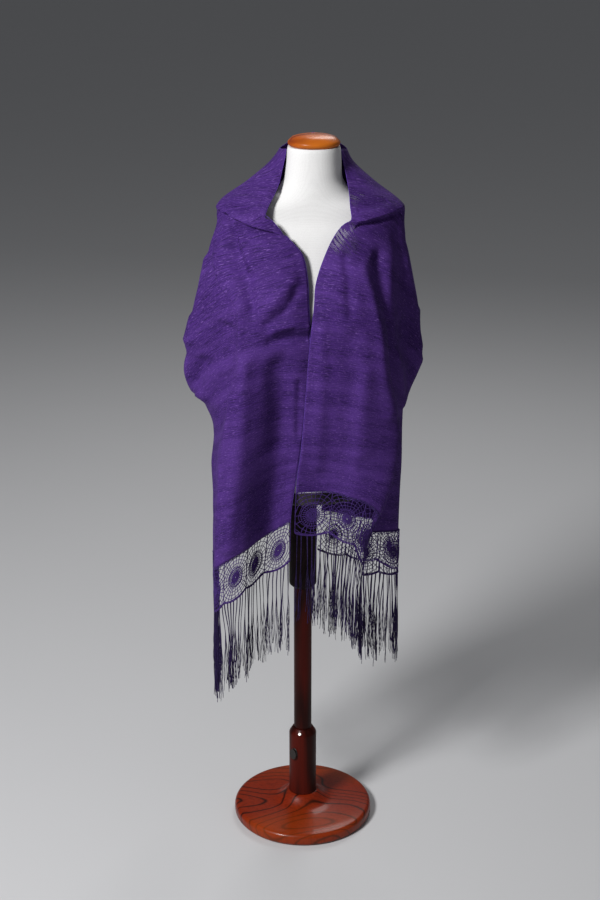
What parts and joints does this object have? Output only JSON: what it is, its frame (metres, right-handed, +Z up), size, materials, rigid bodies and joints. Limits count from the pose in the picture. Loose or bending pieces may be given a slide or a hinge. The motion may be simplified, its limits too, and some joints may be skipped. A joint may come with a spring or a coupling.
{
  "type": "lace shawl on dress form stand",
  "caption": "Wide slubbed stole with lace bands and long fringe, worn as a standing-collar shawl on a limbless dress form with a turned wooden stand.",
  "frame": {"origin": "centre of the base disc's underside, on the floor", "axes": "+Z up along the pole, -Y the way the form faces, +X to the form's left hand side as seen from its front on the right"},
  "size_m": [0.4862, 0.3079, 1.5],
  "materials": {
    "gauze": "open slubbed gauze with a light sheen",
    "lace": "knotted thread net",
    "fringe": "loose yarn",
    "form_cloth": "smooth stretched jersey",
    "cap_wood": "varnished",
    "wood": "varnished",
    "dark_wood": "varnished",
    "knob": "satin",
    "screw": "satin"
  },
  "bodies": {
    "stand": {"base_disc": "wood", "base_collar": "wood", "lock_knob": "knob", "collar_screw": "screw"},
    "form": {"pole": "wood", "upper_socket": "dark_wood", "torso": "form_cloth", "neck_cap": "cap_wood", "shawl_collar": "gauze", "shawl_back": "gauze", "shawl_left_sleeve": "gauze", "shawl_right_sleeve": "gauze", "shawl_left_front": "gauze", "shawl_right_front": "gauze", "shawl_left_side": "gauze", "shawl_right_side": "gauze", "lace_left_front": "lace", "lace_left_side": "lace", "lace_right_front": "lace", "lace_right_side": "lace", "fringe_left_front": "fringe", "fringe_left_side": "fringe", "fringe_right_front": "fringe", "fringe_right_side": "fringe"}
  },
  "joints": [
    {"name": "height_slide", "type": "slide", "parent": "stand", "child": "form", "axis": [0, 0, 1], "range_m": [0, 0.1]}
  ]
}
